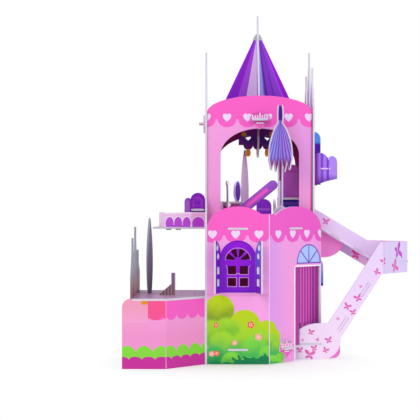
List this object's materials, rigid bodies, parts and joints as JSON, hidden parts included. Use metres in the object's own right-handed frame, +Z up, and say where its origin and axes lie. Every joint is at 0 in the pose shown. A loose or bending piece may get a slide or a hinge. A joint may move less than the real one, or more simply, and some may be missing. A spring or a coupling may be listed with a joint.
{
  "type": "board play castle",
  "caption": "Play castle of slotted and folded printed card with a tower room, pointed roof, side wing, balcony and a slide that turns back on itself.",
  "frame": {"origin": "middle of the front bay's bottom edge, in the middle of the board, on the ground", "axes": "+X to the right seen from the front, +Y to the back, +Z up"},
  "size_m": [0.3705, 0.2583, 0.457],
  "materials": {
    "pink_board": "satin print",
    "purple_board": "satin print",
    "lilac_board": "satin print",
    "rose_board": "satin print",
    "floor_board": "satin print"
  },
  "bodies": {
    "root": {"balcony_floor": "floor_board", "balcony_rail": "purple_board", "balcony_seat": "purple_board", "balcony_seat_board": "purple_board", "bay": "purple_board", "bench_front": "purple_board", "bench_side": "purple_board", "bench_top": "rose_board", "canopy_cross": "lilac_board", "canopy_front": "lilac_board", "castle_front_wall": "pink_board", "chandelier_cross": "rose_board", "chandelier_front": "rose_board", "door_crest": "rose_board", "door_curtain": "purple_board", "dresser_front": "rose_board", "dresser_mirror": "rose_board", "dresser_top": "rose_board", "flower": "rose_board", "footstool": "purple_board", "garden_tree": "purple_board", "ground_floor": "floor_board", "landing_floor": "lilac_board", "left_wall": "pink_board", "lounge_board": "rose_board", "lounge_leg": "purple_board", "lower_ramp": "lilac_board", "lower_shutter_back": "purple_board", "lower_shutter_front": "purple_board", "right_wall": "pink_board", "roof_cross": "purple_board", "roof_main": "purple_board", "room_tree": "purple_board", "side_crest": "rose_board", "slide_back_wall": "lilac_board", "slide_corbel": "rose_board", "slide_end_floor": "lilac_board", "slide_foot": "rose_board", "slide_front_wall": "lilac_board", "slide_middle_wall": "lilac_board", "stair_side": "purple_board", "tower_back": "pink_board", "tower_ceiling": "floor_board", "tower_crest": "rose_board", "tower_front": "pink_board", "upper_floor": "floor_board", "upper_ramp": "lilac_board", "upper_shutter_back": "purple_board", "upper_shutter_front": "purple_board", "wardrobe": "purple_board", "window_frame": "purple_board", "wing_deck": "floor_board", "wing_front_wall": "pink_board", "wing_side_wall": "pink_board"}
  },
  "joints": []
}
